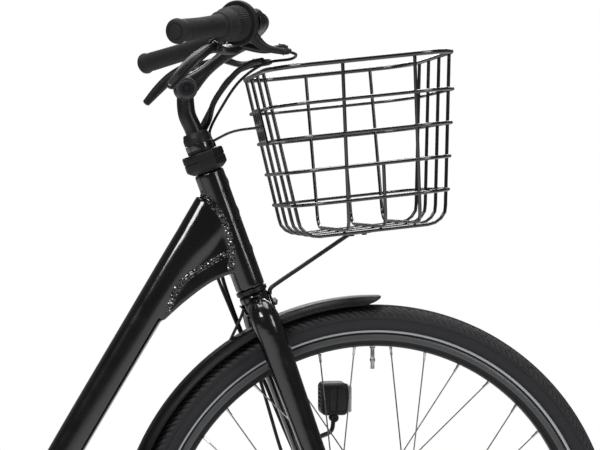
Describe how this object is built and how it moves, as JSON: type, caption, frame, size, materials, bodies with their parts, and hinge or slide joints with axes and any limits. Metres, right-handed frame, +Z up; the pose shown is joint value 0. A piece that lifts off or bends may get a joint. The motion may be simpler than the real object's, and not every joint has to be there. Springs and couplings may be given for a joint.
{
  "type": "step-through electric bicycle",
  "caption": "Black step-through electric bicycle with a hub motor, a wire front basket, full mudguards, a rear rack battery and an adjustable stem.",
  "frame": {"origin": "on the ground under the middle of the bicycle's overall box", "axes": "+X forwards, +Y to the rider's left, +Z up; the drive side is on -Y"},
  "size_m": [1.8974, 0.6024, 1.1329],
  "materials": {
    "frame_paint": "gloss black lacquer",
    "basket_paint": "semi-gloss black powder coat",
    "satin_metal": "satin black coat",
    "dark_metal": "dark anodised",
    "rim_metal": "black anodised",
    "bright_steel": "plain stainless",
    "tyre_rubber": "matt with a pale reflective stripe",
    "grip_rubber": "matt",
    "cable_rubber": "smooth sleeve",
    "black_plastic": "fine-grained",
    "saddle_skin": "soft imitation leather",
    "lamp_lens": "clear ribbed",
    "red_lens": "clear red"
  },
  "bodies": {
    "frame": {"frame": "frame_paint", "cable_collar": "black_plastic", "lower_headset_bearing": "dark_metal", "bottom_bracket_bearings": "bright_steel", "chain_case": "black_plastic", "chain": "bright_steel", "rear_axle": "bright_steel", "rear_roller_brake": "dark_metal", "rear_mudguard": "frame_paint", "tail_light": "red_lens", "rear_carrier": "satin_metal", "battery_dock": "satin_metal", "seat_clamp": "satin_metal"},
    "rear_wheel": {"rear_gear_hub": "dark_metal", "rear_rim": "rim_metal", "rear_tyre": "tyre_rubber"},
    "sprocket": {"rear_sprocket": "dark_metal"},
    "cranks": {"crank_right": "satin_metal", "crank_left": "satin_metal", "chainring": "dark_metal"},
    "right_pedal": {"pedal_right": "grip_rubber"},
    "left_pedal": {"pedal_left": "grip_rubber"},
    "stand": {"center_stand": "satin_metal"},
    "steering": {"fork": "frame_paint", "front_axle": "bright_steel", "front_mudguard": "frame_paint", "headlight": "black_plastic", "headlight_lens": "lamp_lens", "brake_caliper": "dark_metal", "basket_strut": "satin_metal", "strut_bolt": "bright_steel", "basket_brace": "satin_metal", "wire_basket": "basket_paint", "stem_collar": "black_plastic", "stem_quill": "satin_metal", "stem_pivot_bolt": "dark_metal", "cable_bundle": "cable_rubber", "shift_cable": "cable_rubber", "left_brake_cable": "cable_rubber", "front_brake_cable": "cable_rubber", "motor_cable": "cable_rubber"},
    "front_wheel": {"front_motor_hub": "satin_metal", "front_brake_disc": "bright_steel", "front_rim": "rim_metal", "front_tyre": "tyre_rubber", "front_valve": "bright_steel"},
    "bars": {"stem_arm": "satin_metal", "handlebar": "satin_metal", "grip_right": "grip_rubber", "grip_left": "grip_rubber", "shifter_housing": "black_plastic", "lever_bracket_right": "satin_metal", "lever_bracket_left": "satin_metal"},
    "right_lever": {"brake_lever_right": "satin_metal"},
    "left_lever": {"brake_lever_left": "satin_metal"},
    "shifter": {"twist_shifter": "grip_rubber"},
    "seat": {"seat_post": "dark_metal", "saddle_base": "black_plastic", "saddle_cover": "saddle_skin"},
    "battery_pack": {"battery": "black_plastic"}
  },
  "joints": [
    {"name": "rear_wheel_spin", "type": "hinge", "parent": "frame", "child": "rear_wheel", "pos_m": [-0.529, 0, 0.358], "axis": [0, 1, 0], "continuous": true},
    {"name": "crank_turn", "type": "hinge", "parent": "frame", "child": "cranks", "pos_m": [-0.064, 0, 0.285], "axis": [0, 1, 0], "continuous": true},
    {"name": "sprocket_turn", "type": "hinge", "parent": "frame", "child": "sprocket", "pos_m": [-0.529, 0, 0.358], "axis": [0, 1, 0], "continuous": true},
    {"name": "right_pedal_spin", "type": "hinge", "parent": "cranks", "child": "right_pedal", "pos_m": [0.106, -0.091, 0.285], "axis": [0, 1, 0], "continuous": true},
    {"name": "left_pedal_spin", "type": "hinge", "parent": "cranks", "child": "left_pedal", "pos_m": [-0.234, 0.091, 0.285], "axis": [0, 1, 0], "continuous": true},
    {"name": "stand_swing", "type": "hinge", "parent": "frame", "child": "stand", "pos_m": [-0.13, 0, 0.248], "axis": [0, 1, 0], "range_deg": [0, 72]},
    {"name": "steering_turn", "type": "hinge", "parent": "frame", "child": "steering", "pos_m": [0.4149, 0, 0.7405], "axis": [-0.3387, 0, 0.9409], "range_deg": [-60, 60], "deforming": ["cable_bundle", "shift_cable", "left_brake_cable", "front_brake_cable", "motor_cable"]},
    {"name": "front_wheel_spin", "type": "hinge", "parent": "steering", "child": "front_wheel", "pos_m": [0.591, 0, 0.358], "axis": [0, 1, 0], "continuous": true},
    {"name": "stem_angle", "type": "hinge", "parent": "steering", "child": "bars", "pos_m": [0.3222, 0, 1.0243], "axis": [0, 1, 0], "range_deg": [-30, 0], "deforming": ["cable_bundle", "shift_cable", "left_brake_cable"]},
    {"name": "right_lever_pull", "type": "hinge", "parent": "bars", "child": "right_lever", "pos_m": [0.34503, -0.18281, 1.07057], "axis": [-0.7235, 0.4478, 0.5254], "range_deg": [0, 18], "stiffness_Nm_per_rad": 0.8, "springref_deg": -8.59},
    {"name": "left_lever_pull", "type": "hinge", "parent": "bars", "child": "left_lever", "pos_m": [0.34503, 0.18281, 1.07057], "axis": [0.7235, 0.4478, -0.5254], "range_deg": [0, 18], "stiffness_Nm_per_rad": 0.8, "springref_deg": -8.59},
    {"name": "shifter_twist", "type": "hinge", "parent": "bars", "child": "shifter", "pos_m": [0.37535, -0.1705, 1.10183], "axis": [-0.5936, -0.7921, -0.1423], "range_deg": [0, 120]},
    {"name": "seat_height", "type": "slide", "parent": "frame", "child": "seat", "axis": [-0.3091, 0, 0.951], "range_m": [-0.1, 0.06]},
    {"name": "battery_slide", "type": "slide", "parent": "frame", "child": "battery_pack", "axis": [-1, 0, 0], "range_m": [0, 0.42]}
  ],
  "couplings": [
    {"joint": "sprocket_turn", "follows": "crank_turn", "ratio": 2}
  ]
}
